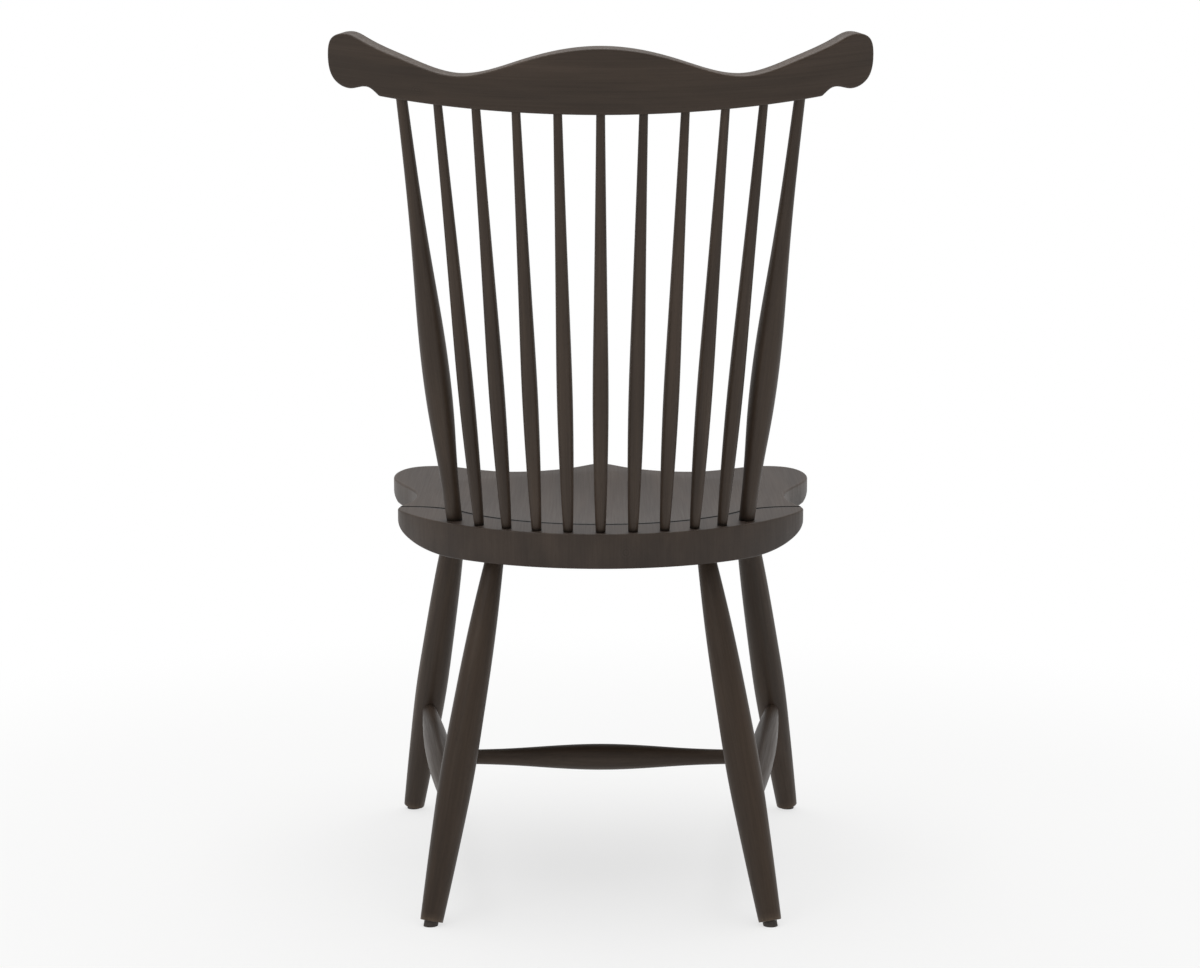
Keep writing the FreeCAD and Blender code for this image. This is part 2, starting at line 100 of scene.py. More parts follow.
def stainedWood(look):
    material, tree = newMaterial(look["name"])
    grain = addNode(tree, "ShaderNodeAttribute", attribute_name="grain")
    wearAndLightAttribute = addNode(tree, "ShaderNodeAttribute", attribute_name="wearAndPaintedLight")

    def stretched(sizes):  # noise coordinates: one unit is one streak, sizes in millimetres
        return addNode(tree, "ShaderNodeMapping", {"Scale": [1 / (size * mm) for size in sizes]},
                       {"Vector": grain.outputs["Vector"]})

    drift = addNode(tree, "ShaderNodeTexNoise", {"Scale": 1.0, "Detail": 3.0, "Roughness": 0.5,
                                                 "Distortion": 0.4},
                    {"Vector": stretched(look["drift"]).outputs[0]})
    streak = addNode(tree, "ShaderNodeTexNoise", {"Scale": 1.0, "Detail": 4.0, "Roughness": 0.6,
                                                  "Distortion": 0.2},
                     {"Vector": stretched(look["streak"]).outputs[0]})
    pore = addNode(tree, "ShaderNodeTexNoise", {"Scale": 1.0, "Detail": 2.0, "Roughness": 0.6},
                   {"Vector": stretched(look["pore"]).outputs[0]})
    tone = addNode(tree, "ShaderNodeValToRGB", links={"Fac": drift.outputs["Fac"]})
    tone.color_ramp.elements[0].position = 0.3
    tone.color_ramp.elements[0].color = linearColour(look["dark"])
    tone.color_ramp.elements[1].position = 0.72
    tone.color_ramp.elements[1].color = linearColour(look["pale"])
    tone.color_ramp.elements.new(0.5).color = linearColour(look["mid"])
    line = addNode(tree, "ShaderNodeMapRange", {"From Min": 0.3, "From Max": 0.7,
                                                "To Min": look["contrast"][0],
                                                "To Max": look["contrast"][1]},
                   {"Value": streak.outputs["Fac"]})
    tick = addNode(tree, "ShaderNodeMapRange", {"From Min": 0.24, "From Max": 0.4, "To Min": 0.72,
                                                "To Max": 1.0}, {"Value": pore.outputs["Fac"]})
    grey = addNode(tree, "ShaderNodeMath", links={0: line.outputs[0], 1: tick.outputs[0]},
                   operation="MULTIPLY")
    # below zero the attribute is painted shade: it darkens the seat's groove and the feet of the spindles
    # and posts where they go into the seat
    paintedShade = addNode(tree, "ShaderNodeMapRange", {"From Min": -1.0, "From Max": 0.0, "To Min": 0.12},
                     {"Value": wearAndLightAttribute.outputs["Fac"]})
    grey = addNode(tree, "ShaderNodeMath", links={0: grey.outputs[0], 1: paintedShade.outputs[0]},
                   operation="MULTIPLY")
    if "knot" in look:  # one small tight knot, rings fading out over its own size
        centre, size = look["knot"]
        inKnot = addNode(tree, "ShaderNodeMapping",
                         {"Location": [-c / s for c, s in zip(centre, size)],
                          "Scale": [1 / (s * mm) for s in size]}, {"Vector": grain.outputs["Vector"]})
        mask = addNode(tree, "ShaderNodeTexGradient", links={"Vector": inKnot.outputs[0]},
                       gradient_type="SPHERICAL")
        rings = addNode(tree, "ShaderNodeTexWave", {"Scale": 1.1, "Distortion": 2.0, "Detail": 2.0,
                                                    "Detail Scale": 1.5},
                        {"Vector": inKnot.outputs[0]}, wave_type="RINGS", rings_direction="SPHERICAL")
        swing = addNode(tree, "ShaderNodeMapRange", {"To Min": -0.3, "To Max": 0.16},
                        {"Value": rings.outputs["Fac"]})
        swing = addNode(tree, "ShaderNodeMath", {2: 1.0}, {0: swing.outputs[0], 1: mask.outputs["Fac"]},
                        operation="MULTIPLY_ADD")
        grey = addNode(tree, "ShaderNodeMath", links={0: grey.outputs[0], 1: swing.outputs[0]},
                       operation="MULTIPLY")
    grained = addNode(tree, "ShaderNodeVectorMath", links={0: tone.outputs["Color"],
                                                           "Scale": grey.outputs[0]},
                      operation="SCALE")
    # rubbed edges, and the painted highlight along the crest rail's top edge, broken up by the streaks
    worn = addNode(tree, "ShaderNodeMath", {1: 0.45}, {0: streak.outputs["Fac"]}, operation="ADD")
    worn = addNode(tree, "ShaderNodeMath", links={0: worn.outputs[0], 1: wearAndLightAttribute.outputs["Fac"]},
                   operation="MULTIPLY")
    worn = addNode(tree, "ShaderNodeMath", {1: 0.55}, {0: worn.outputs[0]}, operation="MULTIPLY",
                   use_clamp=True)
    mixed = tree.nodes.new("ShaderNodeMix")
    mixed.data_type = "RGBA"
    tree.links.new(worn.outputs[0], mixed.inputs[0])
    tree.links.new(grained.outputs[0], mixed.inputs[6])
    mixed.inputs[7].default_value = linearColour(look["wearAndPaintedLight"])
    gloss = addNode(tree, "ShaderNodeMapRange", {"From Min": 0.3, "From Max": 0.7,
                                                 "To Min": look["roughness"][1],
                                                 "To Max": look["roughness"][0]},
                    {"Value": streak.outputs["Fac"]})
    relief = addNode(tree, "ShaderNodeMath", links={0: streak.outputs["Fac"], 1: tick.outputs[0]},
                     operation="MULTIPLY")
    bump = addNode(tree, "ShaderNodeBump", {"Strength": 0.25, "Distance": 0.00012},
                   {"Height": relief.outputs[0]})
    shader = addNode(tree, "ShaderNodeBsdfPrincipled",
                     {"IOR": 1.5, "Specular IOR Level": look["specular"], "Coat Weight": look["coat"],
                      "Coat Roughness": look["coatRoughness"]},
                     {"Base Color": mixed.outputs[2], "Roughness": gloss.outputs[0],
                      "Normal": bump.outputs[0]})
    addNode(tree, "ShaderNodeOutputMaterial", links={"Surface": shader.outputs[0]})
    return material


turnedMaterial = stainedWood(turnedWood)
seatMaterial = stainedWood(seatWood)
crestMaterial = stainedWood(crestWood)
print("wood finishes made")


# Pieces from arrays


# one mesh object from points in metres, grain and the signed wear and painted light marks are kept as
# attributes
def gridPiece(name, material, points, quads, grain, wearAndPaintedLight):
    mesh = bpy.data.meshes.new(name)
    mesh.from_pydata([tuple(p) for p in points], [], quads)
    mesh.validate()
    mesh.attributes.new("grain", "FLOAT_VECTOR", "POINT").data.foreach_set(
        "vector", np.asarray(grain, dtype=np.float32).ravel())
    mesh.attributes.new("wearAndPaintedLight", "FLOAT", "POINT").data.foreach_set(
        "value", np.asarray(wearAndPaintedLight, dtype=np.float32).ravel())
    mesh.shade_smooth()
    mesh.set_sharp_from_angle(angle=hardEdge)
    piece = bpy.data.objects.new(name, mesh)
    bpy.context.scene.collection.objects.link(piece)
    mesh.materials.append(material)
    return piece


# natural cubic through (place, value) pairs, as a function of the place
def splineThrough(stations):
    x = np.array([s[0] for s in stations], dtype=float)
    y = np.array([s[1] for s in stations], dtype=float)
    n = len(x)
    h = np.diff(x)
    system = np.eye(n)
    right = np.zeros(n)
    for i in range(1, n - 1):
        system[i, i - 1:i + 2] = h[i - 1], 2 * (h[i - 1] + h[i]), h[i]
        right[i] = 6 * ((y[i + 1] - y[i]) / h[i] - (y[i] - y[i - 1]) / h[i - 1])
    bend = np.linalg.solve(system, right)

    def value(at):
        at = np.asarray(at, dtype=float)
        i = np.clip(np.searchsorted(x, at) - 1, 0, n - 2)
        a = (x[i + 1] - at) / h[i]
        b = (at - x[i]) / h[i]
        return (a * y[i] + b * y[i + 1]
                + ((a ** 3 - a) * bend[i] + (b ** 3 - b) * bend[i + 1]) * h[i] ** 2 / 6)

    return value


# Turned members. Each is read off its CAD rod's axis and turned again from its own
# radii by a sweep in Geometry Nodes, so the grain can follow the wood.

legTurning = dict(
    stations=((0.0, 13.0), (0.14, 15.9), (0.28, 18.4), (0.41, 19.9), (0.54, 19.3), (0.68, 18.0),
              (0.83, 15.5), (1.0, 10.7)),
    tenons=(-4.9, 29.0), into=(0.0, 6.0), rim=0.8, shadeReach=0.0, rings=90, sides=56)
sideStretcherTurning = dict(
    stations=((0.0, 8.6), (0.12, 11.5), (0.26, 14.2), (0.5, 16.0), (0.74, 14.2), (0.88, 11.5), (1.0, 8.6)),
    tenons=(21.0, 21.0), into=(4.0, 4.0), rim=0.0, shadeReach=0.0, rings=80, sides=48)
medialStretcherTurning = dict(
    stations=((0.0, 8.5), (0.12, 9.3), (0.22, 10.8), (0.34, 13.7), (0.5, 15.9), (0.66, 13.7), (0.78, 10.8),
              (0.88, 9.3), (1.0, 8.5)),
    tenons=(16.0, 16.0), into=(4.0, 4.0), rim=0.0, shadeReach=0.0, rings=90, sides=48)
spindleTurning = dict(
    stations=((0.0, 5.7), (0.09, 7.3), (0.17, 8.3), (0.34, 9.1), (0.51, 8.1), (0.7, 6.7), (0.86, 5.7),
              (1.0, 4.95)),
    tenons=(22.0, 20.0), into=(4.0, 4.0), rim=0.0, shadeReach=4.5, rings=90, sides=36)
postTurning = dict(
    stations=((0.0, 9.2), (0.08, 10.1), (0.16, 11.9), (0.25, 14.5), (0.36, 15.7), (0.47, 14.6), (0.58, 12.0),
              (0.68, 9.7), (0.78, 8.0), (0.89, 6.9), (1.0, 6.2)),
    tenons=(22.0, 20.0), into=(6.0, 4.0), rim=0.0, shadeReach=6.0, rings=100, sides=48)


# centres of a turned CAD rod's two end faces in metres, lower or left end first
def rodEnds(nodeName):
    mesh = cadNodes[nodeName].data
    flat = np.empty(len(mesh.vertices) * 3)
    mesh.vertices.foreach_get("co", flat)
    spots = np.unique(np.round(flat.reshape(-1, 3), 6), axis=0)
    middle = spots.mean(axis=0)
    run = np.linalg.svd(spots - middle, full_matrices=False)[2][0]
    ends = []
    for sign in (-1, 1):
        reach = (spots - middle) @ run * sign
        ring = spots[reach > reach.max() - 0.0001]
        ends.append(0.5 * (ring.min(axis=0) + ring.max(axis=0)))
    ends.sort(key=lambda e: (round(e[2], 2), e[0]))
    return ends


# sweeps a circle along every line of the input mesh, as wide as its turnRadius says
def latheTree():
    tree = bpy.data.node_groups.new("turned on the lathe", "GeometryNodeTree")
    tree.interface.new_socket("Geometry", in_out="INPUT", socket_type="NodeSocketGeometry")
    tree.interface.new_socket("Sides", in_out="INPUT", socket_type="NodeSocketInt")
    tree.interface.new_socket("Finish", in_out="INPUT", socket_type="NodeSocketMaterial")
    tree.interface.new_socket("Geometry", in_out="OUTPUT", socket_type="NodeSocketGeometry")
    start = addNode(tree, "NodeGroupInput").outputs
    radius = addNode(tree, "GeometryNodeInputNamedAttribute", {"Name": "turnRadius"})
    along = addNode(tree, "GeometryNodeInputNamedAttribute", {"Name": "along"})
    ring = addNode(tree, "GeometryNodeInputNamedAttribute", {"Name": "ring"}, data_type="FLOAT_VECTOR")
    path = addNode(tree, "GeometryNodeMeshToCurve", links={"Mesh": start["Geometry"]})
    circle = addNode(tree, "GeometryNodeCurvePrimitiveCircle", {"Radius": 1.0},
                     {"Resolution": start["Sides"]})
    place = addNode(tree, "GeometryNodeInputPosition")
    circle = addNode(tree, "GeometryNodeStoreNamedAttribute", {"Name": "ring"},
                     {"Geometry": circle.outputs[0], "Value": place.outputs[0]}, data_type="FLOAT_VECTOR")
    swept = addNode(tree, "GeometryNodeCurveToMesh", {"Fill Caps": True},
                    {"Curve": path.outputs[0], "Profile Curve": circle.outputs[0],
                     "Scale": radius.outputs["Attribute"]})
    across = addNode(tree, "ShaderNodeVectorMath", links={0: ring.outputs["Attribute"],
                                                          "Scale": radius.outputs["Attribute"]},
                     operation="SCALE")
    lengthwise = addNode(tree, "ShaderNodeCombineXYZ", links={"Z": along.outputs["Attribute"]})
    grain = addNode(tree, "ShaderNodeVectorMath", links={0: across.outputs[0], 1: lengthwise.outputs[0]})
    shift = addNode(tree, "GeometryNodeInputNamedAttribute", {"Name": "board"}, data_type="FLOAT_VECTOR")
    grain = addNode(tree, "ShaderNodeVectorMath", links={0: grain.outputs[0], 1: shift.outputs["Attribute"]})
    kept = addNode(tree, "GeometryNodeStoreNamedAttribute", {"Name": "grain"},
                   {"Geometry": swept.outputs[0], "Value": grain.outputs[0]}, data_type="FLOAT_VECTOR")
    smooth = addNode(tree, "GeometryNodeSetShadeSmooth", links={"Geometry": kept.outputs[0]})
    whole = addNode(tree, "GeometryNodeRealizeInstances", links={"Geometry": smooth.outputs[0]})
    dressed = addNode(tree, "GeometryNodeSetMaterial",
                      links={"Geometry": whole.outputs[0], "Material": start["Finish"]})
    addNode(tree, "NodeGroupOutput", links={"Geometry": dressed.outputs[0]})
    return tree


lathe = latheTree()
boardShift = (0.37, 0.21, 0.83)  # each member is cut from another place in the wood, metres
# rings packed near the foot of spindles and posts, so their painted shade there fades smoothly
shadeSteps = (-0.3, 0.2, 0.5, 0.8, 1.1, 1.5)
rimTurns = [math.radians(a) for a in (8, 30, 52, 74)]
rimWear, besideRimWear = 0.9, 0.3


# one piece for the turned members that stand for nodeNames
def turnedPiece(name, turning, nodeNames, material):
    profile = splineThrough(turning["stations"])
    points, edges, radii, along, board, wearAndPaintedLight = [], [], [], [], [], []
    for number, nodeName in enumerate(nodeNames):
        low, high = rodEnds(nodeName)
        run = (high - low) / np.linalg.norm(high - low)
        footTenon, headTenon = turning["tenons"]
        shoulder = low + run * footTenon * mm
        length = np.linalg.norm(high - low) / mm - footTenon - headTenon
        start = -footTenon if footTenon < 0 else -turning["into"][0]
        stop = length + turning["into"][1]
        shadeReach = turning["shadeReach"]
        places = [start] + [shadeReach * k for k in shadeSteps] if shadeReach else []
        places += list(np.linspace(2 * shadeReach if shadeReach else start, stop, turning["rings"]))
        widths = [float(profile(min(1.0, max(0.0, place / length)))) for place in places]
        # painted shade at the foot of a spindle or post where it goes into the seat: full below a fifth of
        # the reach, gone by 1.2 times it
        wearAndShadeValues = [-min(1.0, max(0.0, 1.2 - place / shadeReach)) if shadeReach else 0.0 for place in places]
        if turning["rim"]:  # rounded edge at the foot
            rim = turning["rim"]
            places[:1] = [start, *[start + rim * (1 - math.cos(a)) for a in rimTurns], start + 1.6 * rim]
            widths[:1] = [widths[0] - rim, *[widths[0] - rim * (1 - math.sin(a)) for a in rimTurns],
                          widths[0]]
            wearAndShadeValues[:1] = [rimWear] * (len(rimTurns) + 2)
            wearAndShadeValues[len(rimTurns) + 2] = besideRimWear
        first = len(points)
        for place, width, worn in zip(places, widths, wearAndShadeValues):
            points.append(tuple(shoulder + run * place * mm))
            radii.append(width * mm)
            along.append(place * mm)
            board.append([shift * number for shift in boardShift])
            wearAndPaintedLight.append(worn)
        edges += [(i, i + 1) for i in range(first, len(points) - 1)]
    lines = bpy.data.meshes.new(name + "Lines")
    lines.from_pydata(points, edges, [])
    lines.attributes.new("turnRadius", "FLOAT", "POINT").data.foreach_set("value", radii)
    lines.attributes.new("along", "FLOAT", "POINT").data.foreach_set("value", along)
    lines.attributes.new("wearAndPaintedLight", "FLOAT", "POINT").data.foreach_set("value", wearAndPaintedLight)
    lines.attributes.new("board", "FLOAT_VECTOR", "POINT").data.foreach_set(
        "vector", np.array(board).ravel())
    piece = bpy.data.objects.new(name, lines)
    bpy.context.scene.collection.objects.link(piece)
    sweep = piece.modifiers.new("lathe", "NODES")
    sweep.node_group = lathe
    for item in lathe.interface.items_tree:
        if item.in_out == "INPUT" and item.name == "Sides":
            sweep[item.identifier] = turning["sides"]
        if item.in_out == "INPUT" and item.name == "Finish":
            sweep[item.identifier] = material
    seen = piece.evaluated_get(bpy.context.evaluated_depsgraph_get())
    mesh = bpy.data.meshes.new_from_object(seen)
    piece.modifiers.clear()
    piece.data = mesh
    mesh.name = name
    mesh.set_sharp_from_angle(angle=hardEdge)
    if not mesh.materials:
        mesh.materials.append(material)
    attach(piece, "root")
    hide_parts(*nodeNames)
    return piece


corners = ["front_left", "front_right", "rear_left", "rear_right"]
turnedPiece("turnedLegs", legTurning, ["leg_" + c for c in corners], turnedMaterial)
turnedPiece("sideStretchers", sideStretcherTurning, ["side_stretcher_left", "side_stretcher_right"],
            turnedMaterial)
turnedPiece("medialStretcher", medialStretcherTurning, ["medial_stretcher"], turnedMaterial)
turnedPiece("backPosts", postTurning, ["post_left", "post_right"], turnedMaterial)
turnedPiece("backSpindles", spindleTurning, [f"spindle_{i}" for i in range(1, 10)], turnedMaterial)
print("turned members made")


# Crest rail: the flat outline of part's board, its edges rounded over, bent round a
# leaning cylinder. Across s, up h, both in millimetres.

crestRail = dict(
    hump=(0.0, 73.9), humpPoints=((0.28, 0.13), (0.56, 0.49)), dip=(160.0, 39.0),
    risePoints=((0.46, 0.38), (0.85, 0.85)), tip=(291.5, 74.7), tipTurn=(0.78, 0.27),
    end=(316.5, 48.0), lobeTurn=(0.25, 0.76), lobe=(287.0, 13.1), notch=(270.0, 17.1),
    notchPoints=((0.37, 0.06), (0.7, 0.48)), corner=(250.6, 8.3), backLength=489.8, fromEdge=13.7,
    thickness=18.0, bendRadius=560.0, lean=11.0, edgeRound=2.6, columns=360, rows=26, samples=600,
    rimSteps=(0.0, 0.03, 0.12, 0.27, 0.48, 0.74, 1.0), wearReach=1.6, wear=0.08, topHighlight=0.14)


def partWay(a, b, shares):
    return a[0] + (b[0] - a[0]) * shares[0], a[1] + (b[1] - a[1]) * shares[1]


# cubic through points with chord-length steps, sampled densely
def curveThrough(points, samples, startTangent=None, endTangent=None):
    points = np.array(points, dtype=float)
    chord = np.concatenate([[0], np.cumsum(np.linalg.norm(np.diff(points, axis=0), axis=1))])
    n = len(points)
    h = np.diff(chord)
    system = np.eye(n)
    right = np.zeros((n, 2))
    for i in range(1, n - 1):
        system[i, i - 1:i + 2] = h[i - 1], 2 * (h[i - 1] + h[i]), h[i]
        right[i] = 6 * ((points[i + 1] - points[i]) / h[i] - (points[i] - points[i - 1]) / h[i - 1])
    if startTangent is not None:
        tangent = np.array(startTangent) / np.linalg.norm(startTangent)
        system[0, :2] = 2 * h[0], h[0]
        right[0] = 6 * ((points[1] - points[0]) / h[0] - tangent)
    if endTangent is not None:
        tangent = np.array(endTangent) / np.linalg.norm(endTangent)
        system[-1, -2:] = h[-1], 2 * h[-1]
        right[-1] = 6 * (tangent - (points[-1] - points[-2]) / h[-1])
    bend = np.linalg.solve(system, right)
    at = np.linspace(0, chord[-1], samples)
    i = np.clip(np.searchsorted(chord, at) - 1, 0, n - 2)
    a = ((chord[i + 1] - at) / h[i])[:, None]
    b = ((at - chord[i]) / h[i])[:, None]
    step = (h[i] ** 2 / 6)[:, None]
    return (a * points[i] + b * points[i + 1]
            + ((a ** 3 - a) * bend[i] + (b ** 3 - b) * bend[i + 1]) * step)


# distance of each spot from a closed outline, both as rows of x and y
def gapTo(outline, spots):
    closed = np.vstack([outline, outline[:1]])
    a, b = closed[:-1], closed[1:]
    run = b - a
    size = np.maximum((run ** 2).sum(axis=1), 1e-12)
    best = np.full(len(spots), np.inf)
    for low in range(0, len(spots), 2000):
        part = spots[low:low + 2000, None, :]
        share = np.clip(((part - a) * run).sum(axis=2) / size, 0, 1)
        off = part - (a + share[..., None] * run)
        best[low:low + 2000] = np.sqrt((off ** 2).sum(axis=2)).min(axis=1)
    return best


# how far a rounded edge has dropped at a gap from the rim
def roundOver(gap, radius):
    inside = np.clip(radius - gap, 0, radius)
    return radius - np.sqrt(radius ** 2 - inside ** 2)


def makeCrest(spec):
    hump, dip, tip, end = spec["hump"], spec["dip"], spec["tip"], spec["end"]
    lobe, notch, corner = spec["lobe"], spec["notch"], spec["corner"]
    rightTop = [hump, *[partWay(hump, dip, k) for k in spec["humpPoints"]], dip,
                *[partWay(dip, tip, k) for k in spec["risePoints"]], tip]
    samples = spec["samples"]
    overLeft, overRight = (1, 0.05), (1, -0.05)  # the top edge runs nearly level over both ears
    top = curveThrough([(-x, y) for x, y in reversed(rightTop[1:])] + rightTop, 2 * samples, overLeft,
                       overRight)
    ear = curveThrough([tip, partWay(tip, end, spec["tipTurn"]), end,
                        partWay(end, lobe, spec["lobeTurn"]), lobe, notch,
                        *[partWay(notch, corner, k) for k in spec["notchPoints"]], corner],
                       samples, overRight)
    # the ends are where the ear turns back, so top and bottom are functions of s
    turn = int(np.argmax(ear[:, 0]))
    reach = ear[turn, 0]
    upper = np.vstack([top[samples:], ear[1:turn + 1]])
    arcRadius = (corner[0] ** 2 + corner[1] ** 2) / (2 * corner[1])
    arcS = np.linspace(0, corner[0], samples // 3)
    arc = np.column_stack([arcS, arcRadius - np.sqrt(arcRadius ** 2 - arcS ** 2)])
    lower = np.vstack([arc, ear[:turn:-1]])
    lower = lower[np.argsort(lower[:, 0], kind="stable")]
    outline = np.vstack([upper, lower[::-1]])
    outline = np.vstack([outline, outline[::-1] * (-1, 1)])

    phase = np.linspace(-0.5, 0.5, spec["columns"] + 1) * math.pi
    across = reach * np.sin(phase)
    highs = np.interp(np.abs(across), upper[:, 0], upper[:, 1])
    lows = np.interp(np.abs(across), lower[:, 0], lower[:, 1])
    rim = spec["edgeRound"]
    rimSteps = rim * np.array(spec["rimSteps"])
    inner = spec["rows"] - 2 * len(rimSteps) + 1
    grid = []
    for s, high, low in zip(across, highs, lows):
        room = max(high - low, 0.0)
        steps = rimSteps * min(1.0, 0.4 * room / rim)
        middle = np.linspace(steps[-1], room - steps[-1], inner + 2)[1:-1]
        heights = np.concatenate([steps, middle, (room - steps)[::-1]]) + low
        grid.append(np.column_stack([np.full(len(heights), s), heights]))
    grid = np.array(grid)
    columns, rows = grid.shape[:2]
    flat = grid.reshape(-1, 2)
    gap = gapTo(outline[::3], flat)
    half = 0.5 * spec["thickness"] - roundOver(gap, rim)
    edge = (np.arange(columns * rows) % rows == 0) | (np.arange(columns * rows) % rows == rows - 1)
    half[edge] = 0.5 * spec["thickness"] - rim
    half[:rows] = 0.5 * spec["thickness"] - rim
    half[-rows:] = 0.5 * spec["thickness"] - rim

    lean = math.radians(spec["lean"])
    back = Vector((0, math.cos(lean), -math.sin(lean)))
    up = Vector((0, math.sin(lean), math.cos(lean)))
    base = onSeat(0, -spec["fromEdge"]) + up * spec["backLength"]

    def bent(s, h, offset):
        angle = s / spec["bendRadius"]
        radius = spec["bendRadius"] + offset
        return (base + Vector((1, 0, 0)) * radius * math.sin(angle)
                + back * (radius * math.cos(angle) - spec["bendRadius"]) + up * h) * mm

    points = [bent(s, h, half[i]) for i, (s, h) in enumerate(flat)]
    points += [bent(s, h, -half[i]) for i, (s, h) in enumerate(flat)]
    grain = [(h * mm, half[i] * mm, s * mm) for i, (s, h) in enumerate(flat)]
    grain += [(h * mm, -half[i] * mm, s * mm) for i, (s, h) in enumerate(flat)]
    worn = np.clip(1 - gap / (spec["wearReach"] * rim), 0, 1) ** 1.5
    # painted highlight: rim points above the middle height get extra pale rub, most along the top edge, on
    # top of the even edge wear
    upSide = np.clip((flat[:, 1] - 0.5 * (np.repeat(highs, rows) + np.repeat(lows, rows))) / 12, 0, 1)
    wearAndPaintedLight = np.tile(worn * (spec["wear"] + spec["topHighlight"] * upSide), 2)

    count = columns * rows
    quads = []
    for i in range(columns - 1):
        for j in range(rows - 1):
            a, b, c, d = i * rows + j, (i + 1) * rows + j, (i + 1) * rows + j + 1, i * rows + j + 1
            quads.append((d, c, b, a))
            quads.append((a + count, b + count, c + count, d + count))
        for j in (0, rows - 1):
            a, b = i * rows + j, (i + 1) * rows + j
            quads.append((a, b, b + count, a + count) if j == 0 else (b, a, a + count, b + count))
    for i in (0, columns - 1):
        for j in range(rows - 1):
            a, b = i * rows + j, i * rows + j + 1
            quads.append((b, a, a + count, b + count) if i == 0 else (a, b, b + count, a + count))
    piece = gridPiece("crestRail", crestMaterial, points, quads, grain, wearAndPaintedLight)
    mendSeams(piece)
    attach(piece, "root")
    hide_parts("crest_rail")
    return piece


# Seat board, in its own frame of millimetres: x across, y towards the back, z up from
# the flat deck, with the origin at the middle of the rear edge.

seatBoard = dict(
    height=450.0, tilt=1.04, thickness=41.0, deckRadius=265.7, deckHalf=242.0, deckSideY=-165.0,
    roundShare=0.93, waist=(226.0, -266.0), widest=(261.0, -388.0), corner=(232.0, -462.0),
    scoop=(113.0, -455.0), pommelY=-486.0, pommelPoints=((0.5, 0.2), (0.75, 0.55)),
    underRound=(72.0, 27.0), waistRoom=11.0, lobeRoom=3.0, bevel=(34.0, 15.0),
    grooveRadius=205.6, grooveSideY=-175.0,
    grooveTurn=80.0, grooveWidth=5.0, grooveDepth=2.6, grooveStep=1.5,
    saddleDepth=12.0, saddleMiddleY=-262.0, saddleHalf=212.0, saddleFront=175.0, saddleFade=1.3,
    saddleLift=0.4, scoopDepth=6.0, scoopOuter=212.0, scoopRound=3.0, scoopFade=1.6,
    deckRim=1.8, saddleRim=2.6, lowerRim=2.0, columns=420, samples=200, coveSamples=1200,
    wearReach=2.2, wear=0.3, frontWear=0.6, wearFrom=-250.0, wearRun=200.0, lowerWear=0.1,
    deckRows=(0.0, 0.004, 0.012, 0.024, 0.04, 0.07, 0.12), saddleRows=38,
    frontRows=(0.925, 0.945, 0.96, 0.972, 0.981, 0.988, 0.993, 0.997, 1.0))

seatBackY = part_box("seat")[1].y / mm
seatTilt = math.radians(seatBoard["tilt"])


def onSeat(x, y, z=0.0):
    return Vector((x, y * math.cos(seatTilt) + z * math.sin(seatTilt) + seatBackY,
                   -y * math.sin(seatTilt) + z * math.cos(seatTilt) + seatBoard["height"]))


# points at equal steps along a dense line
def evenly(points, count):
    points = np.asarray(points, dtype=float)
    walk = np.concatenate([[0], np.cumsum(np.linalg.norm(np.diff(points, axis=0), axis=1))])
    at = np.linspace(0, walk[-1], count)
    return np.column_stack([np.interp(at, walk, points[:, 0]), np.interp(at, walk, points[:, 1])])


# a line given from the middle to the right, as the whole line from left to right
def bothSides(right):
    right = np.asarray(right, dtype=float)
    return np.vstack([right[::-1] * (-1, 1), right[1:]])


# how deep the carved saddle and its two front scoops lie under the flat deck
def saddleDrop(spec, x, y):
    x = np.abs(x)
    middleY = spec["saddleMiddleY"]
    rearReach = spec["grooveRadius"] + middleY + spec["deckRadius"]
    reach = np.where(y > middleY, rearReach, spec["saddleFront"])
    away = (x / spec["saddleHalf"]) ** 2 + ((y - middleY) / reach) ** 2
    hollow = spec["saddleDepth"] * np.maximum(0.0, 1 - away) ** spec["saddleFade"]
    scoopX, scoopY = spec["scoop"]
    nearMiddle = np.sin(np.minimum(0.5 * math.pi * np.hypot(x, spec["scoopRound"]) / scoopX, 1.6))
    past = np.clip((x - scoopX) / (spec["scoopOuter"] - scoopX), 0, 1)
    outer = np.maximum(np.cos(0.5 * math.pi * past), 0) ** spec["scoopFade"]
    channel = np.where(x < scoopX, nearMiddle, outer)
    t = np.clip((middleY - y) / (middleY - scoopY), 0, 1)
    return np.maximum(hollow + spec["scoopDepth"] * channel * t * t * (3 - 2 * t)
                      - spec["saddleLift"], 0)


# height of the board's underside: flat, curving up to the sides and the front
def underside(spec, x, y):
    low = -spec["thickness"]
    width, rise = spec["underRound"]
    rise = np.interp(y, [spec["widest"][1], spec["grooveSideY"]], [rise - spec["lobeRoom"], rise])
    half = np.interp(y, [spec["pommelY"] - 20, 0.7 * spec["widest"][1] + 0.3 * spec["waist"][1],
                         spec["waist"][1], spec["grooveSideY"], 20],
                     [spec["widest"][0], spec["widest"][0], spec["waist"][0] + spec["waistRoom"],
                      spec["deckHalf"], spec["deckHalf"]])
    out = np.clip((np.abs(x) - half + width) / width, 0, 1)
    side = low + rise * (1 - np.sqrt(1 - out ** 2))
    depth, height = spec["bevel"]
    front = low + np.maximum(spec["pommelY"] + depth - y, 0) / depth * height
    return np.maximum(side, front)


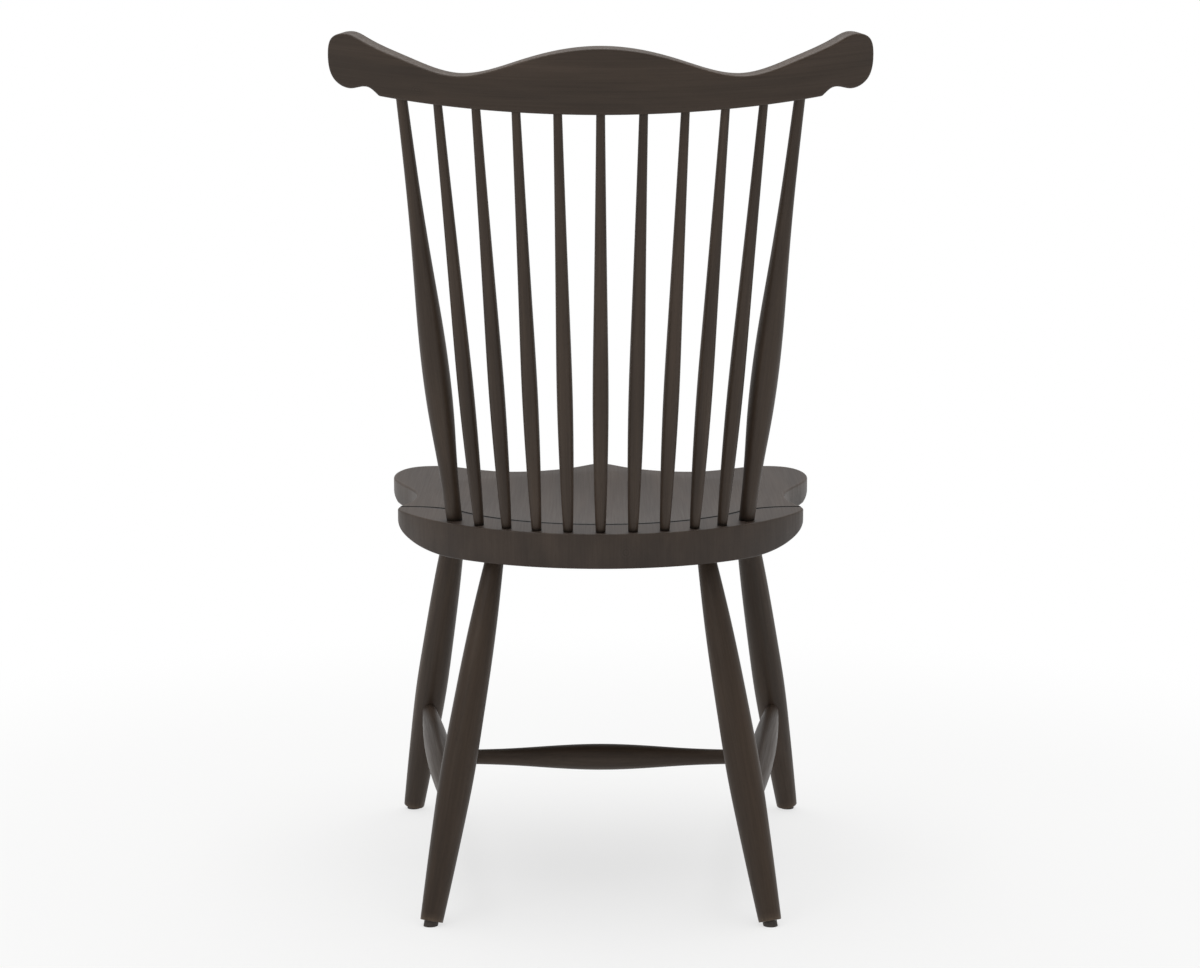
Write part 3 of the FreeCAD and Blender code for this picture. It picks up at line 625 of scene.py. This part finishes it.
def makeSeat(spec):
    radius = spec["deckRadius"]
    angle = math.asin(spec["roundShare"] * spec["deckHalf"] / radius)
    samples = spec["samples"]
    arc = [(radius * math.sin(a), -radius + radius * math.cos(a)) for a in np.linspace(0, angle, samples)]
    deckSide = (spec["deckHalf"], spec["deckSideY"])
    side = curveThrough([arc[-1], deckSide], 60, (math.cos(angle), -math.sin(angle)), (0, -1))
    half = 0.5 * spec["grooveWidth"]
    notch = np.array([spec["deckHalf"] - spec["grooveStep"], spec["grooveSideY"] - spec["grooveWidth"]])
    step = notch - deckSide
    grooveIn = deckSide + step * (-spec["deckSideY"] + spec["grooveSideY"] + half) / step[1]
    grooveOut = deckSide + step * (-spec["deckSideY"] + spec["grooveSideY"] - half) / step[1]
    rear = bothSides(np.vstack([arc, side[1:]]))

    scoop, pommel = spec["scoop"], (0.0, spec["pommelY"])
    cornerX, cornerY = spec["corner"]
    sidePoints = [tuple(notch), spec["waist"], spec["widest"], spec["corner"],
                  (0.5 * (cornerX + scoop[0]), cornerY + 1), scoop,
                  *[partWay(scoop, pommel, k) for k in spec["pommelPoints"]], pommel]
    cove = curveThrough(sidePoints, spec["coveSamples"], (-0.5, -1), (-1, 0))
    front = bothSides(np.vstack([cove[::-1], [grooveOut]]))

    sumRadius = spec["grooveRadius"] + spec["grooveTurn"]
    bend = math.acos((spec["grooveSideY"] + radius + spec["grooveTurn"]) / sumRadius)
    centre = np.array([sumRadius * math.sin(bend), -radius + sumRadius * math.cos(bend)])

    def groovePath(offset, out):
        inner = spec["grooveRadius"] - offset
        outer = spec["grooveTurn"] + offset
        path = [(inner * math.sin(a), -radius + inner * math.cos(a)) for a in np.linspace(0, bend, samples)]
        path += [tuple(centre - outer * np.array([math.sin(a), math.cos(a)]))
                 for a in np.linspace(bend, 0, 60)[1:]]
        return bothSides(path + [tuple(out)])

    columns = spec["columns"] + 1
    rearLine = evenly(rear, columns)
    grooveBack = evenly(groovePath(-half, grooveIn), columns)
    grooveFront = evenly(groovePath(half, grooveOut), columns)
    frontLine = evenly(front, columns)
    outline = np.vstack([rear, [grooveIn], front[::-1], [grooveIn * (-1, 1)]])

    deckShares = np.concatenate([spec["deckRows"], np.linspace(0.2, 1.0, 9)])
    grooveShares = np.linspace(0, 1, 11)[1:]
    saddleShares = np.concatenate([np.linspace(0, 0.9, spec["saddleRows"])[1:], spec["frontRows"]])
    rows = [rearLine + (grooveBack - rearLine) * k for k in deckShares]
    rows += [grooveBack + (grooveFront - grooveBack) * k for k in grooveShares]
    rows += [grooveFront + (frontLine - grooveFront) * k for k in saddleShares]
    flat = np.array(rows).reshape(-1, 2)
    total = len(rows)
    firstGroove = len(deckShares)
    firstSaddle = firstGroove + len(grooveShares)
    gap = gapTo(outline, flat)
    rowOf = np.repeat(np.arange(total), columns)
    columnOf = np.tile(np.arange(columns), total)
    onRim = (rowOf == 0) | (rowOf == total - 1) | (columnOf == 0) | (columnOf == columns - 1)
    gap[onRim] = 0.0

    x, y = flat[:, 0], flat[:, 1]
    rim = np.where(rowOf >= firstSaddle, spec["saddleRim"], spec["deckRim"])
    top = np.where(rowOf >= firstSaddle - 1, -saddleDrop(spec, x, y), 0.0)
    share = np.zeros(len(flat))
    inGroove = (rowOf >= firstGroove) & (rowOf < firstSaddle - 1)
    share[inGroove] = grooveShares[rowOf[inGroove] - firstGroove]
    top = top - spec["grooveDepth"] * np.sin(math.pi * share) ** 0.5
    top = top - np.array([roundOver(g, r) for g, r in zip(gap, rim)])
    low = underside(spec, x, y) + roundOver(gap, spec["lowerRim"])

    upper = [onSeat(a, b, c) * mm for a, b, c in zip(x, y, top)]
    lower = [onSeat(a, b, c) * mm for a, b, c in zip(x, y, low)]
    grain = [(a * mm, c * mm, b * mm) for a, b, c in zip(x, y, top)]
    grain += [(a * mm, c * mm, b * mm) for a, b, c in zip(x, y, low)]
    worn = np.clip(1 - gap / (spec["wearReach"] * rim), 0, 1) ** 1.4
    frontShare = np.clip((spec["wearFrom"] - y) / spec["wearRun"], 0, 1)
    wearAndPaintedLight = np.concatenate([worn * (spec["wear"] + spec["frontWear"] * frontShare),
                          worn * spec["lowerWear"]])
    # painted shade: the whole groove, from its back edge to its front edge, is darkened on the top surface
    groove = (rowOf >= firstGroove - 1) & (rowOf < firstSaddle)
    wearAndPaintedLight[:len(flat)][groove] = -1.0

    count = len(flat)
    quads = []
    for j in range(total - 1):
        for i in range(columns - 1):
            a, b = j * columns + i, j * columns + i + 1
            c, d = b + columns, a + columns
            quads.append((d, c, b, a))
            quads.append((a + count, b + count, c + count, d + count))
    for j, turned in ((0, False), (total - 1, True)):
        for i in range(columns - 1):
            a, b = j * columns + i, j * columns + i + 1
            wall = (a, b, b + count, a + count)
            quads.append(wall[::-1] if turned else wall)
    for i, turned in ((0, True), (columns - 1, False)):
        for j in range(total - 1):
            a, b = j * columns + i, (j + 1) * columns + i
            wall = (a, b, b + count, a + count)
            quads.append(wall[::-1] if turned else wall)
    piece = gridPiece("saddleSeat", seatMaterial, upper + lower, quads, grain, wearAndPaintedLight)
    mendSeams(piece)
    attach(piece, "root")
    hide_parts("seat")
    return piece


# welds the rows that meet in one point and turns every face outwards
def mendSeams(piece):
    work = bmesh.new()
    work.from_mesh(piece.data)
    bmesh.ops.remove_doubles(work, verts=work.verts, dist=weldDistance)
    bmesh.ops.dissolve_degenerate(work, edges=work.edges, dist=weldDistance)
    bmesh.ops.recalc_face_normals(work, faces=work.faces)
    work.to_mesh(piece.data)
    openEdges = sum(1 for e in work.edges if len(e.link_faces) != 2)
    print(piece.name, len(work.faces), "faces, open edges", openEdges)
    work.free()
    piece.data.shade_smooth()
    piece.data.set_sharp_from_angle(angle=hardEdge)


makeSeat(seatBoard)
makeCrest(crestRail)
print("seat and crest made")


# Glides and their nails stay as the CAD has them, with their own finishes

def mouldedNylon():
    # brown polyamide, injection moulded with a fine spark-eroded matt texture
    material, tree = newMaterial("nylon glide, injection moulded matt")
    spot = addNode(tree, "ShaderNodeTexCoord")
    grit = addNode(tree, "ShaderNodeTexNoise", {"Scale": 1 / (0.7 * mm), "Detail": 3.0},
                   {"Vector": spot.outputs["Object"]})
    scuff = addNode(tree, "ShaderNodeTexNoise", {"Scale": 1 / (4 * mm), "Detail": 4.0},
                    {"Vector": spot.outputs["Object"]})
    tone = addNode(tree, "ShaderNodeValToRGB", links={"Fac": scuff.outputs["Fac"]})
    tone.color_ramp.elements[0].position = 0.35
    tone.color_ramp.elements[0].color = linearColour("#332c27")
    tone.color_ramp.elements[1].position = 0.75
    tone.color_ramp.elements[1].color = linearColour("#4b423b")
    gloss = addNode(tree, "ShaderNodeMapRange", {"To Min": 0.5, "To Max": 0.72},
                    {"Value": scuff.outputs["Fac"]})
    bump = addNode(tree, "ShaderNodeBump", {"Strength": 0.3, "Distance": 0.0001},
                   {"Height": grit.outputs["Fac"]})
    shader = addNode(tree, "ShaderNodeBsdfPrincipled", {"IOR": 1.53},
                     {"Base Color": tone.outputs[0], "Roughness": gloss.outputs[0],
                      "Normal": bump.outputs[0]})
    addNode(tree, "ShaderNodeOutputMaterial", links={"Surface": shader.outputs[0]})
    return material


def drawnSteel():
    # bright drawn steel wire nail: scratched lengthwise, a little dull from the floor
    material, tree = newMaterial("steel nail, bright drawn")
    spot = addNode(tree, "ShaderNodeTexCoord")
    scratch = addNode(tree, "ShaderNodeTexNoise", {"Scale": 1 / (0.3 * mm), "Detail": 5.0},
                      {"Vector": spot.outputs["Object"]})
    tone = addNode(tree, "ShaderNodeValToRGB", links={"Fac": scratch.outputs["Fac"]})
    tone.color_ramp.elements[0].color = linearColour("#8f8e8c")
    tone.color_ramp.elements[1].color = linearColour("#c9c8c6")
    gloss = addNode(tree, "ShaderNodeMapRange", {"To Min": 0.28, "To Max": 0.5},
                    {"Value": scratch.outputs["Fac"]})
    bump = addNode(tree, "ShaderNodeBump", {"Strength": 0.15, "Distance": 0.00005},
                   {"Height": scratch.outputs["Fac"]})
    shader = addNode(tree, "ShaderNodeBsdfPrincipled", {"Metallic": 1.0},
                     {"Base Color": tone.outputs[0], "Roughness": gloss.outputs[0],
                      "Normal": bump.outputs[0]})
    addNode(tree, "ShaderNodeOutputMaterial", links={"Surface": shader.outputs[0]})
    return material


def finishNode(nodeName, material):
    mesh = cadNodes[nodeName].data
    if mesh.materials:
        mesh.materials[0] = material
    else:
        mesh.materials.append(material)


glideMaterial = mouldedNylon()
for corner in corners:
    finishNode("glide_" + corner, glideMaterial)
finishNode("glide_nails", drawnSteel())
print("glides and nails finished")


# Stage: pale floor running out into white, an even studio, and the camera

stage = dict(floorSize=40.0, near="#f4f4f3", glowShare=0.74, glowLevel=0.92, fadeFrom=0.45, fadeTo=1.5,
             cameraSide=0.42, farSide=0.58, overhead=80.0, key=10.0)


def studioFloor(spec):
    size = spec["floorSize"]
    mesh = bpy.data.meshes.new("studioFloor")
    mesh.from_pydata([(-size, -size, 0), (size, -size, 0), (size, size, 0), (-size, size, 0)], [],
                     [(0, 1, 2, 3)])
    floor = bpy.data.objects.new("studioFloor", mesh)
    bpy.context.scene.collection.objects.link(floor)
    material, tree = newMaterial("painted studio floor")
    spot = addNode(tree, "ShaderNodeTexCoord")
    reach = addNode(tree, "ShaderNodeVectorMath", links={0: spot.outputs["Object"]}, operation="LENGTH")
    # near the chair most of the floor shows camera and glossy rays a white glow mixed over the lit paint,
    # painted light that softens the cast shadow; farther out it is plain white
    fade, level = [addNode(tree, "ShaderNodeMapRange", {"From Min": spec["fadeFrom"],
                                                        "From Max": spec["fadeTo"], "To Min": spec[kind]},
                           {"Value": reach.outputs["Value"]}, interpolation_type="SMOOTHSTEP")
                   for kind in ("glowShare", "glowLevel")]
    seen = addNode(tree, "ShaderNodeLightPath")
    direct = addNode(tree, "ShaderNodeMath", links={0: seen.outputs["Is Camera Ray"],
                                                    1: seen.outputs["Is Glossy Ray"]}, operation="MAXIMUM")
    amount = addNode(tree, "ShaderNodeMath", links={0: direct.outputs[0], 1: fade.outputs[0]},
                     operation="MULTIPLY")
    paint = addNode(tree, "ShaderNodeBsdfDiffuse", {"Color": linearColour(spec["near"])})
    white = addNode(tree, "ShaderNodeEmission", {"Color": (1, 1, 1, 1)}, {"Strength": level.outputs[0]})
    mixed = addNode(tree, "ShaderNodeMixShader", links={0: amount.outputs[0], 1: paint.outputs[0],
                                                        2: white.outputs[0]})
    addNode(tree, "ShaderNodeOutputMaterial", links={"Surface": mixed.outputs[0]})
    mesh.materials.append(material)


def studioWorld(spec):
    world = bpy.data.worlds.new("studio")
    bpy.context.scene.world = world
    world.use_nodes = True
    tree = world.node_tree
    tree.nodes.clear()
    spot = addNode(tree, "ShaderNodeTexCoord")
    parts = addNode(tree, "ShaderNodeSeparateXYZ", links={0: spot.outputs["Generated"]})
    # bright backdrop in front of the camera, a dimmer room behind it
    side = addNode(tree, "ShaderNodeMapRange", {"From Min": -0.5, "From Max": 0.6,
                                                "To Min": spec["farSide"], "To Max": spec["cameraSide"]},
                   {"Value": parts.outputs["Y"]}, interpolation_type="SMOOTHSTEP")
    seen = addNode(tree, "ShaderNodeLightPath")
    level = addNode(tree, "ShaderNodeMath", links={0: seen.outputs["Is Camera Ray"],
                                                   1: side.outputs[0]}, operation="MAXIMUM")
    light = addNode(tree, "ShaderNodeBackground", {"Color": (1, 1, 1, 1)}, {"Strength": level.outputs[0]})
    addNode(tree, "ShaderNodeOutputWorld", links={"Surface": light.outputs[0]})


def softbox(name, place, target, size, power):
    lamp = bpy.data.lights.new(name, "AREA")
    lamp.shape = "RECTANGLE"
    lamp.size, lamp.size_y = size
    lamp.energy = power
    box = bpy.data.objects.new(name, lamp)
    box.location = place
    box.rotation_euler = (Vector(target) - Vector(place)).to_track_quat("-Z", "Y").to_euler()
    bpy.context.scene.collection.objects.link(box)


studioFloor(stage)
studioWorld(stage)
softbox("overheadSoftbox", (0.0, -0.2, 3.2), (0, 0, 0.3), (3.0, 3.0), stage["overhead"])
softbox("keySoftbox", (1.8, 2.4, 2.4), (0, 0, 0.5), (1.6, 1.6), stage["key"])

# straight behind the chair, distances in metres from the seat's rear edge and the floor
cameraAway, cameraHigh, cameraTilt = 3.58006, 1.0739, 8.981
camera = bpy.data.cameras.new("photoCamera")
camera.sensor_width = 36.0
camera.lens = 95.37
cameraObject = bpy.data.objects.new("photoCamera", camera)
cameraObject.location = (0.0007, cameraAway + seatBackY * mm, cameraHigh)
cameraObject.rotation_euler = (math.radians(90 - cameraTilt), 0, math.radians(180))
bpy.context.scene.collection.objects.link(cameraObject)
bpy.context.scene.camera = cameraObject
bpy.context.scene.view_settings.view_transform = "Standard"
print("stage, lamps and camera set")
